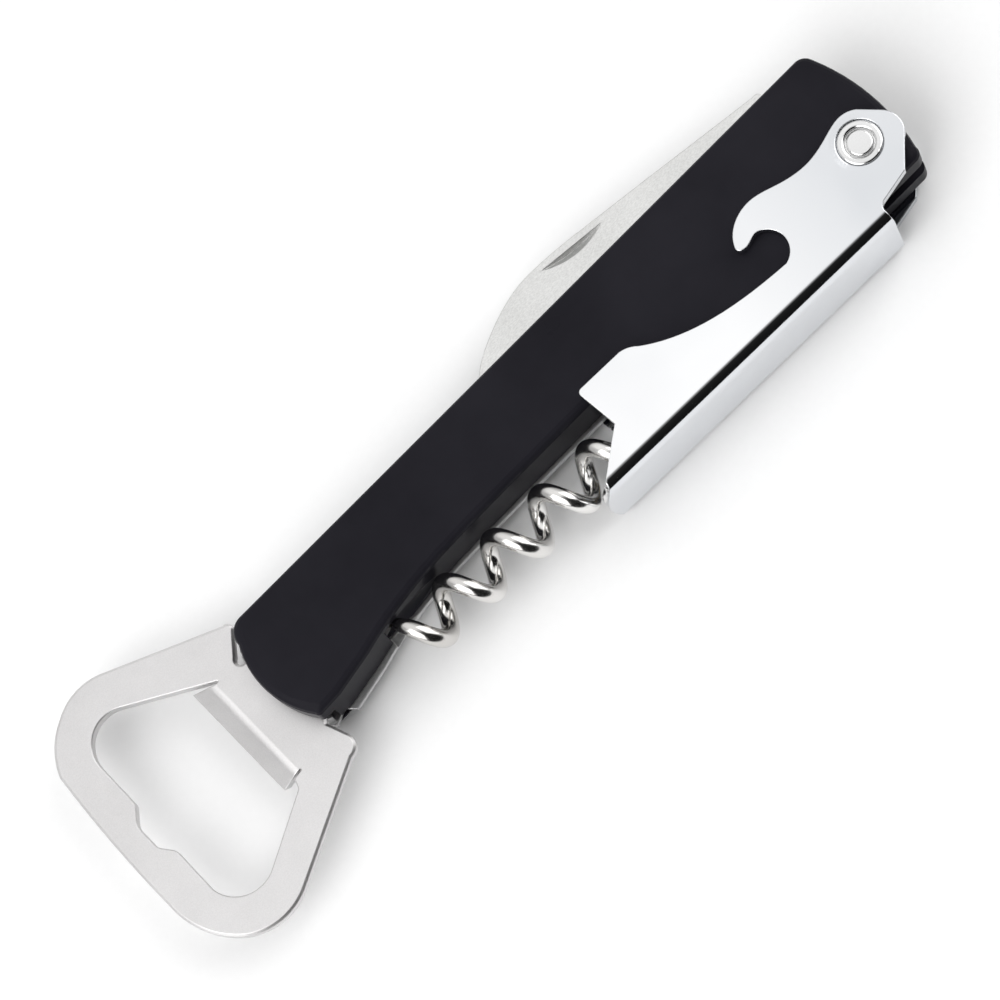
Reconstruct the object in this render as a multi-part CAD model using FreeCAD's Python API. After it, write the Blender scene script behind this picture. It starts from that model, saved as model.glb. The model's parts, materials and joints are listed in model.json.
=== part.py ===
import FreeCAD, Part
import os
import math

# Waiter's corkscrew, folded shut and lying on its side, real size in mm.
# +X runs from the cap lifter to the lever hinge, +Y is the knife side, +Z is up.
# Every sub-part is drawn about the handle's mid-plane (z = 0) and moved at the end, so that
# the origin is the centre of the footprint and z = 0 is the face it lies on.

# Layers through the thickness, as heights either side of the mid-plane.
GAP = 3.0              # inner faces of the two liners
LINER = 4.0            # outer faces of the two liners
SCALE = 5.4            # outer faces of the two black scales
CHEEK_IN = 5.7         # inner faces of the lever's cheeks
CHEEK_OUT = 7.0        # outer faces of the lever's cheeks
PLATE = 0.9            # half thickness of the cap lifter
BLADE = 0.7            # half thickness of the knife
WIRE = 1.25            # radius of the worm's wire

# Handle.
TAIL_X = -40.2
HEAD_X = 73.6
TOP_Y = 12.9
EAR_Y = -9.1           # worm side of the hinge ears
RIM = [(0.0, 4.3), (0.18, 4.85), (0.5, 5.2), (1.0, SCALE)]   # (inset, height) up a scale's rim
SKIRT = 1.2            # wall of the skirt that each scale turns down round the liner
SKIRT_Z = 1.5          # where that skirt ends, leaving a slot for the knife and the shank
DEEP_Z = -2.6          # where its worm side ends, short of the far liner
EAR_EDGE = 19.9        # tail side of the ears, where the skirt stops
SLOT_Z = 0.5           # half thickness of the back spring

# Hinges.
LEVER_AT = (67.5, -2.4)
WORM_AT = (27.0, -7.1)
KNIFE_AT = (67.4, 8.0)
RIVET_R = 2.5
RIVET_FLANGE_R = 3.2
RIVET_MOUTH_R = 2.1
RIVET_BORE_R = 1.85
WORM_PIN_R = 1.2
WORM_EYE_R = 3.55
KNIFE_PIN_R = 1.5
TANG_R = 4.5
RUN = 0.05             # radial play of a running fit

# Worm.
TURN = 2.88            # radius of the wire's centre line
PITCH = 8.75
TIP_X = -22.9
TIP_TAPER = 110.0      # degrees of turn over which the tip is ground
TIP_FLARE = 1.3        # the point stands out this far beyond the coil's centre line
COIL_END_X = 14.6
SHANK_X = 21.0         # where the wire has come in to the worm's own axis
AXIS_SLOPE = -0.036    # the folded worm leans this much, away from the handle toward the hinge

# Fixings: places of the hidden rivets and pins.
TAIL_RIVETS = [(-34.0, 8.6), (-34.0, 0.6), (-24.5, 5.0)]
SPRING_RIVETS = [(-12.0, 2.05), (17.0, 2.2)]
SCALE_PINS = [(-29.0, 5.0), (4.0, 5.6), (49.0, 0.0)]
POST_AT = (47.0, -6.4)
TAIL_RIVET_R = 1.3
SPRING_RIVET_R = 0.9
SCALE_PIN_R = 0.9
POST_R = 1.2


def vec(point, z=0.0):
    return FreeCAD.Vector(point[0], point[1], z)


def outline(start, steps, z=0.0):
    """Closed wire: a step of one point is a line, of two an arc, of more a smooth curve."""
    edges = []
    here = start
    for step in steps:
        if len(step) == 1:
            edges.append(Part.makeLine(vec(here, z), vec(step[0], z)))
        elif len(step) == 2:
            edges.append(Part.Arc(vec(here, z), vec(step[0], z), vec(step[1], z)).toShape())
        else:
            curve = Part.BSplineCurve()
            curve.interpolate([vec(p, z) for p in [here] + list(step)])
            edges.append(curve.toShape())
        here = step[-1]
    if vec(here).distanceToPoint(vec(start)) > 1e-6:
        edges.append(Part.makeLine(vec(here, z), vec(start, z)))
    return Part.Wire(edges)


def rounded(points, z=0.0):
    """Closed wire through corners given as (x, y, radius)."""
    count = len(points)
    cuts = []
    for i in range(count):
        before = vec(points[i - 1])
        corner = vec(points[i])
        after = vec(points[(i + 1) % count])
        radius = points[i][2]
        to_before = (before - corner).normalize()
        to_after = (after - corner).normalize()
        if radius <= 0:
            cuts.append((corner, None, corner))
            continue
        half = to_before.getAngle(to_after) / 2
        reach = radius / math.tan(half)
        middle = (to_before + to_after).normalize()
        bulge = corner + middle * (radius / math.sin(half) - radius)
        cuts.append((corner + to_before * reach, bulge, corner + to_after * reach))
    edges = []
    for i in range(count):
        enter, bulge, leave = cuts[i]
        if bulge is not None:
            edges.append(Part.Arc(enter, bulge, leave).toShape())
        nxt = cuts[(i + 1) % count][0]
        if leave.distanceToPoint(nxt) > 1e-6:
            edges.append(Part.makeLine(leave, nxt))
    wire = Part.Wire(edges)
    wire.translate(FreeCAD.Vector(0, 0, z))
    return wire


def slab(wire, low, high):
    solid = Part.Face(wire).extrude(FreeCAD.Vector(0, 0, high - low))
    solid.translate(FreeCAD.Vector(0, 0, low))
    return solid


def rod(at, radius, low, high):
    return Part.makeCylinder(radius, high - low, vec(at, low))


def ring(at, outer, inner, low, high):
    return rod(at, outer, low, high).cut(rod(at, inner, low - 1, high + 1))


def mirror(shape):
    return shape.mirror(FreeCAD.Vector(0, 0, 0), FreeCAD.Vector(0, 0, 1))


def edges_at(shape, z):
    """Edges of a shape that lie flat at one height."""
    flat = []
    for edge in shape.Edges:
        box = edge.BoundBox
        if abs(box.ZMin - z) < 1e-3 and abs(box.ZMax - z) < 1e-3:
            flat.append(edge)
    return flat


def wall_outline(inset=0.0, z=0.0, proud=0.0):
    """Side view of the handle: straight knife side, hollowed worm side, ears at the hinge.

    A proud liner stands out past the scales on the worm side, down to a small step near the tail.
    """
    i = inset
    p = proud
    steps = [
        [(70.0 - i, TOP_Y - i)],
        [(71.1 - i, 12.4 - i), (71.7 - i, 11.4 - i)],
        [(HEAD_X - i, 0.9), (72.5 - i, -7.6 + i)],
        [(72.1 - i, -8.7 + i), (71.0 - i, EAR_Y + i)],
        [(24.8, EAR_Y + i)],
        [(23.5 + i, -8.7 + i), (23.1 + i, -7.6 + i)],
        [(22.6 + i, -3.0)],
        [(22.0 + i, -1.6 - p), (20.4, -0.85 + i - p)],
        [(8.0, -0.9 + i - p), (-4.0, -1.0 + i - p), (-12.0, -1.25 + i - p),
         (-20.0, -2.1 + i - 1.2 * p), (-27.0, -3.6 + i - 1.6 * p)],
        [(-33.4, -4.8 + i - 2.0 * p)],
    ]
    if p > 0:
        steps.append([(-34.7, -4.3)])
        steps.append([(-36.9, -5.3)])
    else:
        steps.append([(-36.9 + i, -4.95 + i)])
    steps.append([(-37.4 + i, -4.85 + i), (-37.7 + i, -4.4 + i)])
    steps.append([(TAIL_X + i, 3.0), (-38.6 + i, 10.2 - i)])
    steps.append([(-37.6 + i, 12.3 - i), (-35.6 + i, TOP_Y - i)])
    return outline((-35.6 + i, TOP_Y - i), steps, z)


def worm_pocket():
    """Cutter that leaves room for the worm's tip where it folds in between the scales."""
    start = -23.8      # just past the worm's tip
    across = WORM_AT[1] + (start - WORM_AT[0]) * AXIS_SLOPE
    along = FreeCAD.Vector(1, AXIS_SLOPE, 0)
    return Part.makeCylinder(TURN + WIRE + 0.2, 12.0, vec((start, across)), along)


def deep_wall():
    """The near skirt's worm side, which goes down almost to the far liner."""
    band = slab(wall_outline(), DEEP_Z, SKIRT_Z).cut(slab(wall_outline(SKIRT), DEEP_Z - 1, SKIRT_Z + 1))
    tail_end = -35.5
    kept = Part.makeBox(EAR_EDGE - tail_end, 22.0, 12.0, FreeCAD.Vector(tail_end, -20.0, -6.0))
    return band.common(kept)


def skirt_ring(wall, low, high, near):
    """Skirt, open at the ears; the far one leaves the worm side and the tail open too."""
    band = slab(wall_outline(), low, high).cut(slab(wall_outline(wall), low - 1, high + 1))
    left = EAR_EDGE if near else -50.0
    band = band.cut(Part.makeBox(56.0 - left, 28.0, 12.0, FreeCAD.Vector(left, -20.0, -6.0)))
    if not near:
        band = band.cut(Part.makeBox(20.0, 40.0, 12.0, FreeCAD.Vector(-50.0, -20.0, -6.0)))
    return band


def scale(near):
    """Moulded scale: rounded rim, flat face, and a skirt round the liner."""
    low = RIM[0][1]
    body = slab(wall_outline(), LINER, low)
    for below, above in zip(RIM, RIM[1:]):
        body = body.fuse(Part.makeLoft([wall_outline(*below), wall_outline(*above)], True, True))
    body = body.fuse(skirt_ring(SKIRT, SKIRT_Z, LINER, near))
    if near:
        body = body.fuse(deep_wall())
    body = body.cut(rod(LEVER_AT, RIVET_R + 0.1, LINER - 1, SCALE + 1))
    for at in SCALE_PINS:
        body = body.cut(rod(at, SCALE_PIN_R, LINER - 1, SCALE - 0.5))
    return body.cut(worm_pocket())


def liner(near, proud):
    """Stamped sheet that carries every pin; cut back where a skirt turns down round it."""
    plate = slab(wall_outline(0.0, 0.0, proud), GAP, LINER)
    plate = plate.cut(skirt_ring(SKIRT + 0.05, GAP - 1, LINER + 1, near))
    holes = [(LEVER_AT, RIVET_R), (WORM_AT, WORM_PIN_R), (KNIFE_AT, KNIFE_PIN_R), (POST_AT, POST_R)]
    holes += [(at, TAIL_RIVET_R) for at in TAIL_RIVETS]
    holes += [(at, SPRING_RIVET_R) for at in SPRING_RIVETS]
    holes += [(at, SCALE_PIN_R) for at in SCALE_PINS]
    for at, radius in holes:
        plate = plate.cut(rod(at, radius, GAP - 1, LINER + 1))
    return plate.cut(worm_pocket())


def pin_set(places, radius, low, high):
    return Part.makeCompound([rod(at, radius, low, high) for at in places])


def opener_plate():
    """Cap lifter: a flat loop with a bent lip, on a tang that runs between the liners."""
    loop = outline((-54.4, 22.3), [
        [(-58.7, 23.3), (-63.2, 22.0)],
        [(-66.4, 19.6), (-68.6, 16.0)],
        [(-69.5, 4.0), (-69.7, -8.0)],
        [(-68.3, -14.2), (-65.0, -18.3)],
        [(-59.9, -20.2), (-54.6, -19.1)],
        [(-38.4, -11.0)],
        [(-36.6, -9.8), (-36.5, -8.4)],
        [(-37.6, -5.2)],
        [(-35.8, -2.4)],
        [(-24.0, -0.4)],
        [(-20.6, 0.4), (-19.8, 2.4)],
        [(-19.8, 7.4)],
        [(-20.3, 8.9), (-21.8, 9.6)],
        [(-39.4, 9.2)],
        [(-40.5, 9.4), (-40.2, 10.5)],
        [(-37.9, 13.4)],
        [(-37.6, 14.4), (-38.5, 15.0)],
    ])
    plate = slab(loop, -PLATE, PLATE)
    plate = plate.makeChamfer(0.34, edges_at(plate, PLATE) + edges_at(plate, -PLATE))
    hole = slab(rounded([
        (-63.5, 21.4, 4.9),
        (-63.6, 5.7, 1.2),
        (-65.5, 3.3, 2.0),
        (-65.5, -0.7, 2.0),
        (-63.9, -2.9, 1.6),
        (-64.1, -18.3, 5.2),
        (-46.4, -8.9, 0.7),
        (-45.9, -7.5, 0.2),
        (-44.4, -7.3, 0.1),
        (-44.2, 9.9, 0.1),
        (-45.0, 10.4, 0.2),
    ]), -PLATE - 1, PLATE + 1)
    plate = plate.cut(hole)
    rims = []
    for edge in edges_at(plate, PLATE) + edges_at(plate, -PLATE):
        box = edge.BoundBox
        if box.XMax < -46.9 and box.XMin > -66.0 and box.YMin > -15.3 and box.YMax < 18.2:
            rims.append(edge)
    plate = plate.makeChamfer(0.15, rims)
    lip = Part.Face(Part.Wire([
        Part.makeLine(FreeCAD.Vector(-43.6, 0, PLATE), FreeCAD.Vector(-44.6, 0, PLATE)),
        Part.Arc(FreeCAD.Vector(-44.6, 0, PLATE), FreeCAD.Vector(-45.3, 0, 0.7),
                 FreeCAD.Vector(-45.9, 0, 0.3)).toShape(),
        Part.makeLine(FreeCAD.Vector(-45.9, 0, 0.3), FreeCAD.Vector(-48.0, 0, -1.3)),
        Part.makeLine(FreeCAD.Vector(-48.0, 0, -1.3), FreeCAD.Vector(-47.1, 0, -2.5)),
        Part.makeLine(FreeCAD.Vector(-47.1, 0, -2.5), FreeCAD.Vector(-45.0, 0, -0.95)),
        Part.makeLine(FreeCAD.Vector(-45.0, 0, -0.95), FreeCAD.Vector(-43.6, 0, -PLATE)),
        Part.makeLine(FreeCAD.Vector(-43.6, 0, -PLATE), FreeCAD.Vector(-43.6, 0, PLATE)),
    ]))
    lip = lip.extrude(FreeCAD.Vector(0, 30.0, 0))
    lip.translate(FreeCAD.Vector(0, -15.0, 0))
    lip = lip.common(slab(rounded([(-43.5, -7.1, 0.1), (-43.5, 9.7, 0.1), (-44.8, 9.7, 0.3),
                                   (-49.0, 12.2, 0.1), (-49.0, -7.1, 0.1)]), -4, 2))
    plate = plate.fuse(lip).removeSplitter()
    for at in TAIL_RIVETS:
        plate = plate.cut(rod(at, TAIL_RIVET_R, -2, 2))
    return plate


def tang_spacer():
    """Pad between the cap lifter's tang and the near liner."""
    pad = slab(rounded([(-37.2, -1.6, 1.0), (-35.0, -1.6, 1.0), (-20.6, 1.0, 1.5),
                        (-20.6, 9.0, 1.5), (-36.4, 11.0, 1.5), (-38.2, 6.0, 3.0)]), PLATE, GAP)
    for at in TAIL_RIVETS:
        pad = pad.cut(rod(at, TAIL_RIVET_R, PLATE - 1, GAP + 1))
    return pad


def ribbed_spacer():
    """Pad below the tang; its ribbed end shows beside the cap lifter's shoulder."""
    pad = slab(outline((-36.4, 12.5), [
        [(-38.6, 11.9), (-39.7, 10.2)],
        [(-40.7, 7.2), (-40.3, 4.0)],
        [(-37.8, -4.3)],
        [(-36.6, -4.7)],
        [(-36.2, -3.2)],
        [(-33.0, -3.2)],
        [(-28.0, -2.0)],
        [(-20.6, 0.8)],
        [(-20.6, 9.0)],
    ]), -GAP, -PLATE)
    for k in range(6):
        angle = math.radians(128 + 9 * k)
        groove_at = (-33.9 + 7.6 * math.cos(angle), 5.4 + 7.9 * math.sin(angle))
        pad = pad.cut(rod(groove_at, 0.3, -GAP - 1, -PLATE - 0.8 + 1.2))
    for at in TAIL_RIVETS:
        pad = pad.cut(rod(at, TAIL_RIVET_R, -GAP - 1, 0))
    return pad


def back_spring():
    """Flat spring along the handle; it bears on the worm's eye and on the knife's tang."""
    spring = slab(outline((-19.0, 0.9), [
        [(-12.0, 0.7), (0.0, 0.75), (20.6, 0.5)],
        [(22.4, -1.6), (24.2, -3.0)],
        [(27.0, -3.4)],
        [(30.0, -3.0)],
        [(33.0, -1.2), (37.0, 0.2)],
        [(52.0, 1.5), (63.0, 2.2), (65.4, 2.4)],
        [(65.8, 2.8), (65.4, 3.2)],
        [(60.0, 3.4)],
        [(44.0, 3.4), (34.0, 4.0), (16.0, 4.4), (-6.0, 4.2), (-17.0, 3.8)],
        [(-18.8, 3.2), (-19.0, 1.8)],
    ]), -SLOT_Z, SLOT_Z)
    for at in SPRING_RIVETS:
        spring = spring.cut(rod(at, SPRING_RIVET_R, -2, 2))
    return spring


def spring_spacers():
    """Pads that hold the back spring midway between the liners, two at each rivet."""
    pads = []
    for at in SPRING_RIVETS:
        for low, high in ((SLOT_Z, GAP), (-GAP, -SLOT_Z)):
            pads.append(ring(at, 1.7, SPRING_RIVET_R, low, high))
    return Part.makeCompound(pads)


def nail_nick():
    """Cutter for the thumbnail groove: a wide disc sunk in at a slant, steep on the back's side."""
    slant = math.radians(34.0)
    disc_r = 19.5
    deepest = FreeCAD.Vector(31.2, 17.72, BLADE - 0.62)
    upright = FreeCAD.Vector(0, math.sin(slant), math.cos(slant))
    outward = FreeCAD.Vector(0, -math.cos(slant), math.sin(slant))
    disc = Part.makeCylinder(disc_r, 8.0, deepest + upright * disc_r, outward)
    disc.rotate(deepest, FreeCAD.Vector(0, 0, 1), -6.3)
    return disc


def knife_blade():
    """Foil knife: back outward, serrated edge inside the handle, tang round its pin."""
    tang = rod(KNIFE_AT, TANG_R, -BLADE, BLADE)
    blade = slab(outline((64.2, 12.2), [
        [(64.0, 14.0)],
        [(63.8, 14.7), (63.0, 14.9)],
        [(55.5, 15.9), (45.5, 17.3), (36.4, 18.5), (28.4, 19.45), (25.3, 19.6)],
        [(22.3, 19.5), (18.3, 18.6), (14.2, 17.0), (10.1, 14.5), (7.6, 11.4)],
        [(7.5, 10.7), (8.2, 10.6)],
        [(14.0, 10.0), (30.0, 9.2), (58.0, 8.6)],
        [(60.0, 8.5), (63.6, 6.0)],
        [(67.0, 7.0)],
        [(67.0, 12.3)],
    ]), -BLADE, BLADE)
    blade = blade.fuse(tang).removeSplitter()
    for side in (1, -1):
        ramp = Part.Face(Part.makePolygon([
            FreeCAD.Vector(0, 11.2, side * BLADE), FreeCAD.Vector(0, 8.3, side * 0.12),
            FreeCAD.Vector(0, 7.0, side * 0.12), FreeCAD.Vector(0, 7.0, side * 2.0),
            FreeCAD.Vector(0, 11.2, side * 2.0), FreeCAD.Vector(0, 11.2, side * BLADE)]))
        ramp = ramp.extrude(FreeCAD.Vector(52.0, 0, 0))
        ramp.translate(FreeCAD.Vector(6.0, 0.7, 0))
        ramp.rotate(FreeCAD.Vector(58.0, 8.6, 0), FreeCAD.Vector(0, 0, 1), -1.4)
        blade = blade.cut(ramp)
    for k in range(22):
        x = 11.5 + 2.05 * k
        y = 10.25 - 0.035 * (x - 11.5) - 0.55
        blade = blade.cut(rod((x, y), 0.85, -2, 2))
    blade = blade.cut(nail_nick())
    return blade.cut(rod(KNIFE_AT, KNIFE_PIN_R + RUN, -2, 2))


def worm_path(x_from, x_to, count):
    """Centre line of the worm's wire between two stations, as points along its own axis."""
    points = []
    for k in range(count + 1):
        x = x_from + (x_to - x_from) * k / count
        angle = math.radians(197.7 + (x + 17.8) / PITCH * 360.0)
        fade = 1.0
        if x > COIL_END_X:
            part = min(1.0, (x - COIL_END_X) / (SHANK_X - COIL_END_X))
            fade = 0.5 + 0.5 * math.cos(math.pi * part)
        radius = TURN * fade
        ground = 1.0 - (x - TIP_X) / (PITCH * TIP_TAPER / 360.0)
        if ground > 0:
            radius += TIP_FLARE * ground * ground
        points.append(FreeCAD.Vector(x, radius * math.cos(angle), radius * math.sin(angle)))
    return points


def worm():
    """Right-handed worm from one wire: ground tip, coil, shank and an eye round the pin."""
    tip_length = PITCH * TIP_TAPER / 360.0
    curve = Part.BSplineCurve()
    curve.interpolate(worm_path(TIP_X + tip_length, WORM_AT[0] - 2.3, 120))
    spine = Part.Wire([curve.toShape()])
    start = curve.value(curve.FirstParameter)
    tangent = curve.tangent(curve.FirstParameter)[0]
    profile = Part.Wire([Part.makeCircle(WIRE, start, tangent)])
    coil = spine.makePipeShell([profile], True, False)
    rings = []
    for k in range(8):
        x = TIP_X + tip_length * k / 8
        behind, ahead = worm_path(x - 0.01, x + 0.01, 1)
        size = WIRE * (0.12 + 0.88 * math.sin(0.5 * math.pi * k / 8))
        rings.append(Part.Wire([Part.makeCircle(size, (behind + ahead) * 0.5, ahead - behind)]))
    tip = Part.makeLoft(rings + [profile], True)
    at = (WORM_AT[0], 0.0)
    eye = Part.makeTorus(WORM_EYE_R - WIRE + 0.05, WIRE - 0.05, vec(at))
    eye = eye.cut(rod(at, WORM_PIN_R + RUN, -3, 3))
    wire = coil.fuse(eye).fuse(tip)
    lean = math.degrees(math.atan(AXIS_SLOPE))
    wire.translate(FreeCAD.Vector(0, WORM_AT[1], 0))
    wire.rotate(vec(WORM_AT), FreeCAD.Vector(0, 0, 1), lean)
    return wire


def lever():
    """Two-step lever: a channel whose cheeks straddle the hinge ears."""
    side = outline((9.5, -12.15), [
        [(9.5, -10.85)],
        [(11.3, -10.9)],
        [(13.9, -8.9), (17.8, -6.0)],
        [(17.3, 0.0)],
        [(17.5, 0.6), (18.1, 0.8)],
        [(25.0, 0.6)],
        [(26.4, 0.1), (27.4, -0.7)],
        [(31.8, -3.4), (39.4, -5.9), (49.0, -7.15)],
        [(51.4, -4.6), (49.6, -1.2)],
        [(48.6, -1.15), (47.3, -1.55), (46.4, -1.5)],
        [(45.8, -1.1), (45.8, -0.5)],
        [(47.2, 1.3), (51.6, 2.7), (56.0, 1.5), (61.0, 0.7), (65.0, 1.5), (67.8, 2.1), (70.4, 1.2)],
        [(72.7, -1.4)],
        [(73.0, -1.8), (73.0, -5.4)],
        [(68.9, -9.6)],
        [(64.2, -10.5)],
        [(63.4, -10.9), (63.1, -11.8)],
        [(63.1, -13.25)],
    ])
    body = slab(side, -CHEEK_OUT, CHEEK_OUT)
    low_edges = []
    for edge in body.Edges:
        box = edge.BoundBox
        if box.YMax < -12.0 and box.XLength > 40:
            low_edges.append(edge)
    body = body.makeFillet(1.9, low_edges)
    channel = outline((5.0, -10.76), [
        [(80.0, -12.3)],
        [(80.0, 12.0)],
        [(5.0, 12.0)],
    ])
    hollow = slab(channel, -CHEEK_IN, CHEEK_IN)
    floor_edges = [e for e in hollow.Edges if e.BoundBox.YMax < -10.0 and e.BoundBox.XLength > 40]
    hollow = hollow.makeFillet(0.4, floor_edges)
    body = body.cut(hollow)
    tongue = Part.Wire([
        Part.Arc(FreeCAD.Vector(11.4, 0, -CHEEK_OUT), FreeCAD.Vector(9.5, 0, 0),
                 FreeCAD.Vector(11.4, 0, CHEEK_OUT)).toShape(),
        Part.makeLine(FreeCAD.Vector(11.4, 0, CHEEK_OUT), FreeCAD.Vector(80, 0, CHEEK_OUT)),
        Part.makeLine(FreeCAD.Vector(80, 0, CHEEK_OUT), FreeCAD.Vector(80, 0, -CHEEK_OUT)),
        Part.makeLine(FreeCAD.Vector(80, 0, -CHEEK_OUT), FreeCAD.Vector(11.4, 0, -CHEEK_OUT)),
    ])
    plan = Part.Face(tongue).extrude(FreeCAD.Vector(0, 40, 0))
    plan.translate(FreeCAD.Vector(0, -20, 0))
    body = body.common(plan)
    body = body.cut(rod(LEVER_AT, RIVET_R + RUN, -9, 9))
    recess = rod(LEVER_AT, RIVET_FLANGE_R + 0.1, CHEEK_OUT - 0.55, CHEEK_OUT + 1)
    dish = Part.makeCone(RIVET_FLANGE_R, RIVET_FLANGE_R + 1.0, 0.1, vec(LEVER_AT, CHEEK_OUT - 0.1))
    for cutter in (recess, dish):
        body = body.cut(cutter).cut(mirror(cutter))
    return body.removeSplitter()


def lever_rivet():
    """Tubular rivet with rolled flanges sunk in the lever's cheeks."""
    flange = ring(LEVER_AT, RIVET_FLANGE_R, RIVET_MOUTH_R, CHEEK_OUT - 0.5, CHEEK_OUT)
    flange = flange.makeFillet(0.38, edges_at(flange, CHEEK_OUT))
    tube = rod(LEVER_AT, RIVET_R, 0.4 - CHEEK_OUT, CHEEK_OUT - 0.4)
    tube = tube.cut(rod(LEVER_AT, RIVET_BORE_R, -9, 9))
    mouth = rod(LEVER_AT, RIVET_MOUTH_R, CHEEK_OUT - 1.0, CHEEK_OUT + 1)
    tube = tube.cut(mouth).cut(mirror(mouth))
    return tube.fuse([flange, mirror(flange)]).removeSplitter()


def lever_rivet_pin():
    pin = rod(LEVER_AT, RIVET_BORE_R, -CHEEK_OUT + 0.1, CHEEK_OUT - 0.1)
    ends = edges_at(pin, CHEEK_OUT - 0.1) + edges_at(pin, -CHEEK_OUT + 0.1)
    return pin.makeFillet(0.3, ends)


def head_bush():
    return ring(LEVER_AT, 3.6, RIVET_R, -GAP, GAP)


def post_spacer():
    return ring(POST_AT, 2.1, POST_R, -GAP, GAP)


def washer_pair(at, outer, inner, half):
    near = ring(at, outer, inner, half + RUN, GAP)
    return Part.makeCompound([near, mirror(near)])


def build():
    pins = pin_set(SCALE_PINS, SCALE_PIN_R, GAP, SCALE - 0.5)
    return {
        "near_scale": scale(True),
        "far_scale": mirror(scale(False)),
        "near_liner": liner(True, 0.0),
        "far_liner": mirror(liner(False, 0.45)),
        "opener_plate": opener_plate(),
        "near_tang_spacer": tang_spacer(),
        "far_tang_spacer": ribbed_spacer(),
        "tail_rivets": pin_set(TAIL_RIVETS, TAIL_RIVET_R, -LINER, LINER),
        "back_spring": back_spring(),
        "spring_spacers": spring_spacers(),
        "spring_rivets": pin_set(SPRING_RIVETS, SPRING_RIVET_R, -LINER, LINER),
        "near_scale_pins": pins,
        "far_scale_pins": mirror(pins),
        "head_bush": head_bush(),
        "post_spacer": post_spacer(),
        "post_rivet": rod(POST_AT, POST_R, -LINER, LINER),
        "worm": worm(),
        "worm_pin": rod(WORM_AT, WORM_PIN_R, -LINER, LINER),
        "worm_washers": washer_pair(WORM_AT, 3.0, WORM_PIN_R, WIRE),
        "knife_blade": knife_blade(),
        "knife_pin": rod(KNIFE_AT, KNIFE_PIN_R, -LINER, LINER),
        "knife_washers": washer_pair(KNIFE_AT, 3.4, KNIFE_PIN_R, BLADE),
        "lever": lever(),
        "lever_rivet": lever_rivet(),
        "lever_rivet_pin": lever_rivet_pin(),
    }


def main():
    os.makedirs("parts", exist_ok=True)
    nodes = build()
    whole = Part.makeCompound(list(nodes.values())).optimalBoundingBox(True, False)
    to_frame = FreeCAD.Vector(-whole.Center.x, -whole.Center.y, -whole.ZMin)
    for name, shape in nodes.items():
        shape.translate(to_frame)
        shape.exportStep(os.path.join("parts", name + ".step"))


main()
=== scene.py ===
import json
import math

import bpy
from mathutils import Matrix, Vector


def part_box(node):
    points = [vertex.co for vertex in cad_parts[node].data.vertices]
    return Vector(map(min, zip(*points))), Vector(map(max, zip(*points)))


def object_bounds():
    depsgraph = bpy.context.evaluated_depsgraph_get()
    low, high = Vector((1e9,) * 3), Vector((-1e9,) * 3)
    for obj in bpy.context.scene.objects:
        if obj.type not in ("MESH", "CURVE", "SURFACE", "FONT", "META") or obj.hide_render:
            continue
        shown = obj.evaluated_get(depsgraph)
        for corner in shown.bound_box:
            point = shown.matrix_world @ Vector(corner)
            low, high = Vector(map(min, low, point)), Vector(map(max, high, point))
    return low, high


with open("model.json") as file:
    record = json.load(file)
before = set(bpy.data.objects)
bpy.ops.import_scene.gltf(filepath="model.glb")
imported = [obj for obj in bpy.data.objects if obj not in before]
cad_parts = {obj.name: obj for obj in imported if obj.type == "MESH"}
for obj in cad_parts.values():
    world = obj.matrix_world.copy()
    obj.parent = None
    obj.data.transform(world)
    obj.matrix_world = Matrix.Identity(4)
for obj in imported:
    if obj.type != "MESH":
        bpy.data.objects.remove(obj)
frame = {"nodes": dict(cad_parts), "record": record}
cad_low, cad_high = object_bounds()

MM = 0.001
NODES = frame["nodes"]

# The tool's middle plane, half way up the lever: the lever wraps the handle on both sides.
LOW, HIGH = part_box("lever")
MID_Z = 0.5 * (LOW[2] + HIGH[2])


# ---------------------------------------------------------------- materials

# Sockets of the Mix node, whose names repeat from one data type to the next.
NUMBER_A, NUMBER_B, NUMBER_OUT = 2, 3, 0
COLOUR_A, COLOUR_B, COLOUR_OUT = 6, 7, 2

BEVEL_SAMPLES = 6

# Each pair is a darker and a lighter colour, with noise running between them.
SCALE_TONES = ((0.0120, 0.0115, 0.0150), (0.0175, 0.0168, 0.0215))
SPACER_TONES = ((0.012, 0.012, 0.013), (0.020, 0.020, 0.022))
BRASS_TONES = ((0.62, 0.45, 0.20), (0.78, 0.60, 0.30))
LIFTER_TONES = ((0.60, 0.59, 0.59), (0.74, 0.73, 0.73))
LINER_TONES = ((0.52, 0.52, 0.52), (0.74, 0.74, 0.74))
SPRING_TONES = ((0.12, 0.12, 0.12), (0.20, 0.20, 0.20))
BLADE_TONES = ((0.58, 0.58, 0.57), (0.82, 0.82, 0.81))
PIN_TONES = ((0.55, 0.55, 0.56), (0.66, 0.66, 0.67))
WORM_TONES = ((0.60, 0.585, 0.565), (0.82, 0.81, 0.795))
LEVER_TONES = ((0.66, 0.68, 0.71), (0.95, 0.955, 0.965))
RIVET_TONES = ((0.60, 0.60, 0.60), (0.80, 0.80, 0.80))
FLOOR_TONES = ((0.92, 0.92, 0.92), (0.95, 0.95, 0.95))

# Painted shade in the lever's base colour, standing in for its darker reflections on the neck,
# along X, and on the bridge, along Y: (unshaded end, shaded end).
LEVER_PAINTED_SHADE = ((36.0 * MM, 60.0 * MM), (-12.6 * MM, -13.4 * MM))
PAINTED_SHADE_SHARE = 0.7     # how much of the lever's tone comes from the painted shade


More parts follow.
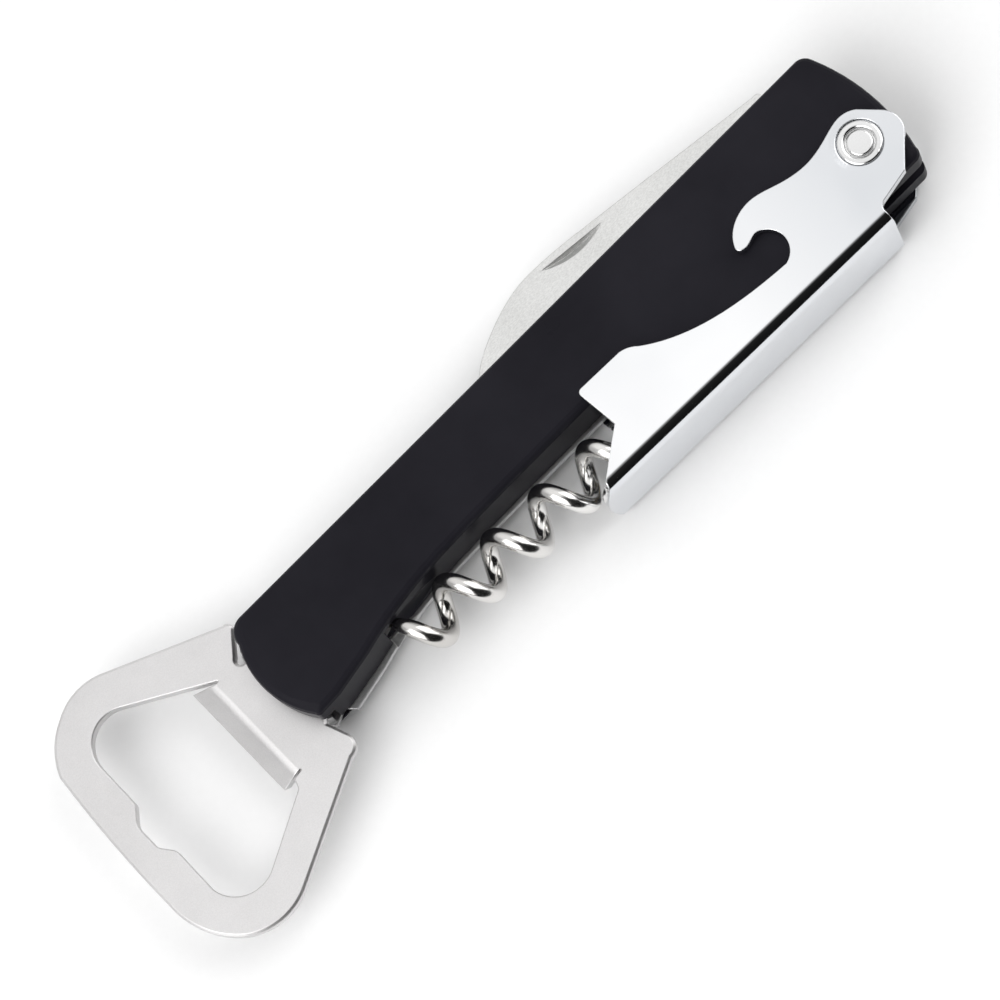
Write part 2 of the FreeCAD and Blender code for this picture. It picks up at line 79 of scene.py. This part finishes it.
class Shader:
    """A material under construction: short names for the nodes that the finishes share."""

    def __init__(self, name):
        self.material = bpy.data.materials.new(name)
        self.material.use_nodes = True
        self.tree = self.material.node_tree
        self.tree.nodes.clear()
        out = self.tree.nodes.new("ShaderNodeOutputMaterial")
        self.bsdf = self.tree.nodes.new("ShaderNodeBsdfPrincipled")
        self.link(self.bsdf.outputs["BSDF"], out.inputs["Surface"])
        self.coords = self.tree.nodes.new("ShaderNodeTexCoord").outputs["Object"]

    def link(self, source, target):
        self.tree.links.new(source, target)

    def feed(self, source, socket):
        """Drive one of the shader's own sockets."""
        self.link(source, self.bsdf.inputs[socket])

    def set(self, **values):
        """Put constants on the shader's own sockets; _ stands for a space in a socket's name."""
        for key, value in values.items():
            self.bsdf.inputs[key.replace("_", " ")].default_value = value

    def noise(self, scale, detail=3.0, rough=0.55, stretch=(1, 1, 1)):
        """Noise of so many cells a metre, squeezed along each axis by its stretch."""
        mapping = self.tree.nodes.new("ShaderNodeMapping")
        mapping.inputs["Scale"].default_value = stretch
        self.link(self.coords, mapping.inputs["Vector"])
        node = self.tree.nodes.new("ShaderNodeTexNoise")
        node.inputs["Scale"].default_value = scale
        node.inputs["Detail"].default_value = detail
        node.inputs["Roughness"].default_value = rough
        self.link(mapping.outputs["Vector"], node.inputs["Vector"])
        return node.outputs["Fac"]

    def ramp(self, factor, low, high, start=0.0, end=1.0):
        """Go from low to high as a factor goes from start to end, and stay there past them."""
        node = self.tree.nodes.new("ShaderNodeMapRange")
        node.inputs["From Min"].default_value = start
        node.inputs["From Max"].default_value = end
        node.inputs["To Min"].default_value = low
        node.inputs["To Max"].default_value = high
        self.link(factor, node.inputs["Value"])
        return node.outputs["Result"]

    def mix(self, factor, tones):
        """Run between two colours by a factor."""
        node = self.tree.nodes.new("ShaderNodeMix")
        node.data_type = "RGBA"
        self.link(factor, node.inputs["Factor"])
        node.inputs[COLOUR_A].default_value = (*tones[0], 1)
        node.inputs[COLOUR_B].default_value = (*tones[1], 1)
        return node.outputs[COLOUR_OUT]

    def blend(self, base, other, share):
        """Two factors in one: a share of the other, and the rest from the base."""
        node = self.tree.nodes.new("ShaderNodeMix")
        node.inputs["Factor"].default_value = share
        self.link(base, node.inputs[NUMBER_A])
        self.link(other, node.inputs[NUMBER_B])
        return node.outputs[NUMBER_OUT]

    def bump(self, height, strength, distance, below=None):
        """Normals of a relief, on top of the normals below it."""
        node = self.tree.nodes.new("ShaderNodeBump")
        node.inputs["Strength"].default_value = strength
        node.inputs["Distance"].default_value = distance
        self.link(height, node.inputs["Height"])
        if below is not None:
            self.link(below, node.inputs["Normal"])
        return node.outputs["Normal"]

    def unshaded_within(self, spans):
        """1 where X and Y are both at the unshaded end of their spans, 0 where either is at its
        painted-shade end.
        """
        split = self.tree.nodes.new("ShaderNodeSeparateXYZ")
        self.link(self.coords, split.inputs["Vector"])
        lowest = self.tree.nodes.new("ShaderNodeMath")
        lowest.operation = "MINIMUM"
        for axis, (bright, shaded_end) in enumerate(spans):
            self.link(self.ramp(split.outputs[axis], 1, 0, bright, shaded_end), lowest.inputs[axis])
        return lowest.outputs["Value"]

    def soft_edges(self, radius):
        """Normals that round every sharp edge over a small radius."""
        node = self.tree.nodes.new("ShaderNodeBevel")
        node.samples = BEVEL_SAMPLES
        node.inputs["Radius"].default_value = radius
        return node.outputs["Normal"]


def black_scale():
    """Moulded black plastic: a faint mottle and a fine moulding grain."""
    s = Shader("scale_black")
    mottle = s.noise(scale=60, detail=4)
    grain = s.noise(scale=5200, detail=2)
    s.feed(s.mix(s.ramp(mottle, 0, 1, start=0.3, end=0.7), SCALE_TONES), "Base Color")
    s.feed(s.ramp(mottle, 0.27, 0.33, start=0.3, end=0.7), "Roughness")
    s.feed(s.bump(grain, strength=0.08, distance=0.03 * MM), "Normal")
    s.set(IOR=1.46, Specular_IOR_Level=0.04)
    return s.material


def moulded_spacer():
    """Coarser black plastic, with a matt grain."""
    s = Shader("spacer_black")
    grain = s.noise(scale=2600)
    s.feed(s.mix(grain, SPACER_TONES), "Base Color")
    s.feed(s.ramp(grain, 0.55, 0.70), "Roughness")
    s.feed(s.bump(grain, strength=0.15, distance=0.04 * MM), "Normal")
    return s.material


def turned_brass():
    """Turned brass: fine rings stacked along Z."""
    s = Shader("washer_brass")
    rings = s.noise(scale=2400, rough=0.6, stretch=(1, 1, 8))
    s.feed(s.mix(rings, BRASS_TONES), "Base Color")
    s.feed(s.ramp(rings, 0.25, 0.42), "Roughness")
    s.feed(s.bump(rings, strength=0.1, distance=0.03 * MM), "Normal")
    s.set(Metallic=1.0)
    return s.material


def satin_steel(name, tones, rough, grain_scale, stretch=(1, 1, 1), relief=0.1, speckle=0.0):
    """Blasted or ground steel: fine grain in the roughness, the tone and the surface.

    speckle is the share of the tone that follows the grain and not the broad clouding.
    """
    s = Shader(name)
    grain = s.noise(grain_scale, detail=4, rough=0.6, stretch=stretch)
    cloud = s.noise(scale=90)
    tone = s.ramp(cloud, 0, 1, start=0.3, end=0.7)
    if speckle:
        tone = s.blend(tone, s.ramp(grain, 0, 1, start=0.3, end=0.7), speckle)
    s.feed(s.mix(tone, tones), "Base Color")
    s.feed(s.ramp(grain, rough - 0.06, rough + 0.08, start=0.25, end=0.75), "Roughness")
    s.feed(s.bump(grain, relief, distance=0.04 * MM, below=s.soft_edges(0.18 * MM)), "Normal")
    s.set(Metallic=1.0)
    return s.material


def polished(name, tones, rough, edge, shaded_spans=None):
    """Polished plate: nearly a mirror, with clouded patches and fine handling marks.

    edge is the radius of its softened edges. shaded_spans gives the spans over which shade is
    painted into its base colour.
    """
    s = Shader(name)
    wave = s.noise(scale=160, detail=2)
    marks = s.noise(scale=900, detail=5, rough=0.7, stretch=(1, 6, 1))
    haze = s.noise(scale=30)
    tone = s.ramp(haze, 0, 1, start=0.35, end=0.6)
    # painted shade: the base colour is darkened over the given spans, in place of darker
    # reflections
    if shaded_spans:
        tone = s.blend(tone, s.unshaded_within(shaded_spans), PAINTED_SHADE_SHARE)
    s.feed(s.mix(tone, tones), "Base Color")
    s.feed(s.ramp(marks, rough, rough + 0.07, start=0.45, end=0.8), "Roughness")
    scuffed = s.bump(marks, strength=0.02, distance=0.03 * MM, below=s.soft_edges(edge))
    s.feed(s.bump(wave, strength=0.04, distance=0.1 * MM, below=scuffed), "Normal")
    s.set(Metallic=1.0)
    return s.material


FINISHES = {
    "scale_black": black_scale(),
    "lifter_steel": satin_steel("lifter_steel", LIFTER_TONES, rough=0.40, grain_scale=5600,
                                relief=0.2, speckle=0.55),
    "liner_steel": satin_steel("liner_steel", LINER_TONES, rough=0.32, grain_scale=1500,
                               stretch=(1, 5, 5), relief=0.15, speckle=0.5),
    "spring_steel": satin_steel("spring_steel", SPRING_TONES, rough=0.30, grain_scale=1500,
                                stretch=(1, 6, 6)),
    "blade_steel": satin_steel("blade_steel", BLADE_TONES, rough=0.36, grain_scale=2300,
                               stretch=(1.3, 2.6, 1), relief=0.2, speckle=0.7),
    "worm_chrome": polished("worm_chrome", WORM_TONES, rough=0.17, edge=0.05 * MM),
    "lever_chrome": polished("lever_chrome", LEVER_TONES, rough=0.06, edge=0.22 * MM,
                             shaded_spans=LEVER_PAINTED_SHADE),
    "rivet_steel": polished("rivet_steel", RIVET_TONES, rough=0.14, edge=0.08 * MM),
    "pin_steel": satin_steel("pin_steel", PIN_TONES, rough=0.30, grain_scale=1800,
                             stretch=(4, 4, 1)),
    "spacer_black": moulded_spacer(),
    "washer_brass": turned_brass(),
}

for part in frame["record"]["subparts"]:
    node = NODES[part["node"]]
    node.data.materials.clear()
    node.data.materials.append(FINISHES[part["material_slot"]])


# ---------------------------------------------------------------- stage

# Direction of the brightest part of the tent, and its grey against the cosine from there.
BRIGHT_SIDE = (0.0, 0.5, 0.866)
TENT_STOPS = [(0.0, 0.46), (0.45, 0.50), (0.72, 0.56), (0.80, 0.70), (0.88, 0.96), (0.95, 1.04)]
# The tent's dark opening: where it is, and how much it passes against the cosine from there.
OPEN_SIDE = (0.0, -0.94, 0.34)
OPENING_STOPS = [(0.0, 1.0), (0.35, 1.0), (0.62, 0.03), (1.0, 0.02)]

FLOOR_HALF = 1.5
FLOOR_GAP = 0.1 * MM    # the tool lies this far above the floor

# Soft boxes above the tail, the tail's worm side and the head: place, size and power in watts.
LIGHTS = {
    "key": ((-0.60, -0.15, 0.72), (0.8, 0.8), 3.2),
    "left": ((-0.80, -0.40, 0.60), (0.9, 1.0), 5.4),
    "right": ((0.80, 0.0, 0.60), (0.9, 1.2), 5.4),
}

CAMERA_AIM = (-1.94 * MM, -1.54 * MM, MID_Z)
CAMERA_DISTANCE = 645 * MM
CAMERA_SIDESTEP = -13 * MM           # along the tool, from the point aimed at
CAMERA_TILT = math.radians(17.7)     # from straight overhead, toward the worm side
CAMERA_LENS = 172.6                  # with the sensor's width, both in millimetres
CAMERA_SENSOR = 36
CAMERA_NEAR_CLIP = 0.01


def floor_material():
    """Matt white paper."""
    s = Shader("floor_paper")
    grain = s.noise(scale=900, detail=4)
    s.feed(s.mix(grain, FLOOR_TONES), "Base Color")
    s.feed(s.ramp(grain, 0.75, 0.9), "Roughness")
    s.set(Specular_IOR_Level=0.1)
    return s.material


def make_floor():
    corners = [(-1, -1), (1, -1), (1, 1), (-1, 1)]
    mesh = bpy.data.meshes.new("floor")
    mesh.from_pydata([(x * FLOOR_HALF, y * FLOOR_HALF, 0) for x, y in corners], [], [(0, 1, 2, 3)])
    floor = bpy.data.objects.new("floor", mesh)
    floor.location = (0, 0, cad_low[2] - FLOOR_GAP)
    mesh.materials.append(floor_material())
    bpy.context.scene.collection.objects.link(floor)


def area_light(name, place, size, power):
    """A soft box aimed at the frame's origin."""
    data = bpy.data.lights.new(name, "AREA")
    data.shape = "RECTANGLE"
    data.size, data.size_y = size
    data.energy = power
    light = bpy.data.objects.new(name, data)
    light.location = place
    light.rotation_euler = (-Vector(place)).to_track_quat("-Z", "Y").to_euler()
    bpy.context.scene.collection.objects.link(light)


def sky_ramp(tree, direction, stops):
    """Grey by the cosine between the direction looked in and a given one."""
    dot = tree.nodes.new("ShaderNodeVectorMath")
    dot.operation = "DOT_PRODUCT"
    dot.inputs[1].default_value = direction
    ramp = tree.nodes.new("ShaderNodeValToRGB")
    coords = tree.nodes.new("ShaderNodeTexCoord")
    tree.links.new(coords.outputs["Generated"], dot.inputs[0])
    tree.links.new(dot.outputs["Value"], ramp.inputs["Fac"])
    points = ramp.color_ramp.elements
    while len(points) < len(stops):
        points.new(0.5)    # anywhere: each point is put in its place below
    for point, (position, grey) in zip(points, stops):
        point.position = position
        point.color = (grey, grey, grey, 1)
    return ramp.outputs["Color"]


def make_world():
    """A white tent lit from overhead, with a dark opening low on the worm side."""
    world = bpy.data.worlds.new("tent")
    bpy.context.scene.world = world
    world.use_nodes = True
    tree = world.node_tree
    tree.nodes.clear()
    out = tree.nodes.new("ShaderNodeOutputWorld")
    background = tree.nodes.new("ShaderNodeBackground")
    both = tree.nodes.new("ShaderNodeMix")
    both.data_type = "RGBA"
    both.blend_type = "MULTIPLY"
    both.inputs["Factor"].default_value = 1.0
    tree.links.new(sky_ramp(tree, BRIGHT_SIDE, TENT_STOPS), both.inputs[COLOUR_A])
    tree.links.new(sky_ramp(tree, OPEN_SIDE, OPENING_STOPS), both.inputs[COLOUR_B])
    tree.links.new(both.outputs[COLOUR_OUT], background.inputs["Color"])
    tree.links.new(background.outputs["Background"], out.inputs["Surface"])


def make_camera():
    """Long lens over the worm side, rolled so that the tool lies corner to corner."""
    aim = Vector(CAMERA_AIM)
    rise = CAMERA_DISTANCE * math.cos(CAMERA_TILT)
    run = CAMERA_DISTANCE * math.sin(CAMERA_TILT)
    place = aim + Vector((CAMERA_SIDESTEP, -run, rise))
    back = (place - aim).normalized()
    along = Vector((1, 0, 0))
    along = (along - back * along.dot(back)).normalized()
    across = back.cross(along)
    right = (along - across).normalized()
    up = (along + across).normalized()
    data = bpy.data.cameras.new("camera")
    data.lens = CAMERA_LENS
    data.sensor_width = CAMERA_SENSOR
    data.clip_start = CAMERA_NEAR_CLIP
    camera = bpy.data.objects.new("camera", data)
    turn = Matrix((right, up, back)).transposed().to_4x4()
    camera.matrix_world = Matrix.Translation(place) @ turn
    bpy.context.scene.collection.objects.link(camera)
    bpy.context.scene.camera = camera


make_floor()
make_world()
for light_name, (light_place, light_size, light_power) in LIGHTS.items():
    area_light(light_name, light_place, light_size, light_power)
make_camera()
bpy.context.scene.view_settings.view_transform = "Standard"
